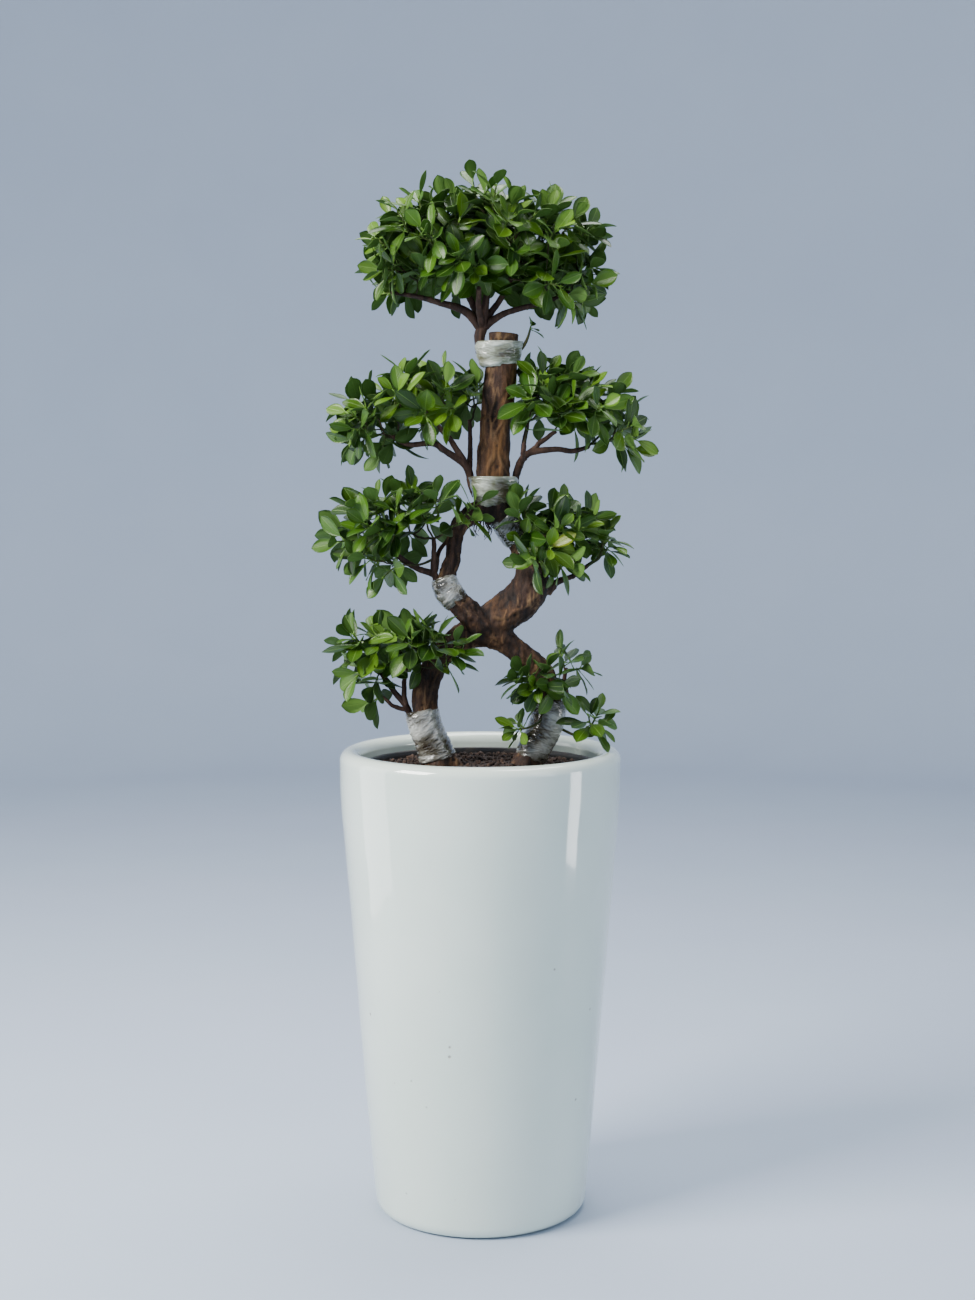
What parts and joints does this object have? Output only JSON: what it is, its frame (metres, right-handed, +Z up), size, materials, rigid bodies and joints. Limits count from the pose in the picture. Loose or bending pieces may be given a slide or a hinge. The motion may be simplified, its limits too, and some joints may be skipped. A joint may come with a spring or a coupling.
{
  "type": "bonsai tree in pot",
  "caption": "Grafted ficus bonsai with a looped trunk, taped grafts and tiered leaf pads, rooted in a tall tapered glazed planter.",
  "frame": {"origin": "centre of the planter's flat underside", "axes": "+Z up along the planter's axis; +X from the tree's left leg to its right leg, seen from the front; -Y towards the front"},
  "size_m": [0.4699, 0.401, 1.4817],
  "materials": {
    "glaze": "gloss",
    "liner": "satin",
    "soil": "matte",
    "bark": "matte",
    "twig": "matte",
    "graft_tape": "satin",
    "leaf": "gloss"
  },
  "bodies": {
    "root": {"planter": "glaze", "liner": "liner", "soil": "soil", "trunk": "bark", "left_arm_tape": "graft_tape", "left_leg_tape": "graft_tape", "middle_graft_tape": "graft_tape", "right_arm_tape": "graft_tape", "right_leg_tape": "graft_tape", "top_graft_tape": "graft_tape", "base_left_branches": "twig", "base_right_branches": "twig", "crown_branches": "twig", "lower_left_branches": "twig", "lower_right_branches": "twig", "middle_left_branches": "twig", "middle_right_branches": "twig", "base_left_sprig_1": "leaf", "base_left_sprig_2": "leaf", "base_left_sprig_3": "leaf", "base_left_sprig_4": "leaf", "base_left_sprig_5": "leaf", "base_right_sprig_1": "leaf", "base_right_sprig_2": "leaf", "crown_sprig_1": "leaf", "crown_sprig_10": "leaf", "crown_sprig_11": "leaf", "crown_sprig_12": "leaf", "crown_sprig_2": "leaf", "crown_sprig_3": "leaf", "crown_sprig_4": "leaf", "crown_sprig_5": "leaf", "crown_sprig_6": "leaf", "crown_sprig_7": "leaf", "crown_sprig_8": "leaf", "crown_sprig_9": "leaf", "loop_sprig": "leaf", "low_left_sprig": "leaf", "low_right_sprig": "leaf", "lower_left_sprig_1": "leaf", "lower_left_sprig_2": "leaf", "lower_left_sprig_3": "leaf", "lower_left_sprig_4": "leaf", "lower_left_sprig_5": "leaf", "lower_right_sprig_1": "leaf", "lower_right_sprig_2": "leaf", "lower_right_sprig_3": "leaf", "middle_left_sprig_1": "leaf", "middle_left_sprig_2": "leaf", "middle_left_sprig_3": "leaf", "middle_left_sprig_4": "leaf", "middle_left_sprig_5": "leaf", "middle_right_sprig_1": "leaf", "middle_right_sprig_2": "leaf", "middle_right_sprig_3": "leaf", "middle_right_sprig_4": "leaf", "middle_right_sprig_5": "leaf", "middle_right_sprig_6": "leaf", "top_sprig": "leaf"}
  },
  "joints": []
}
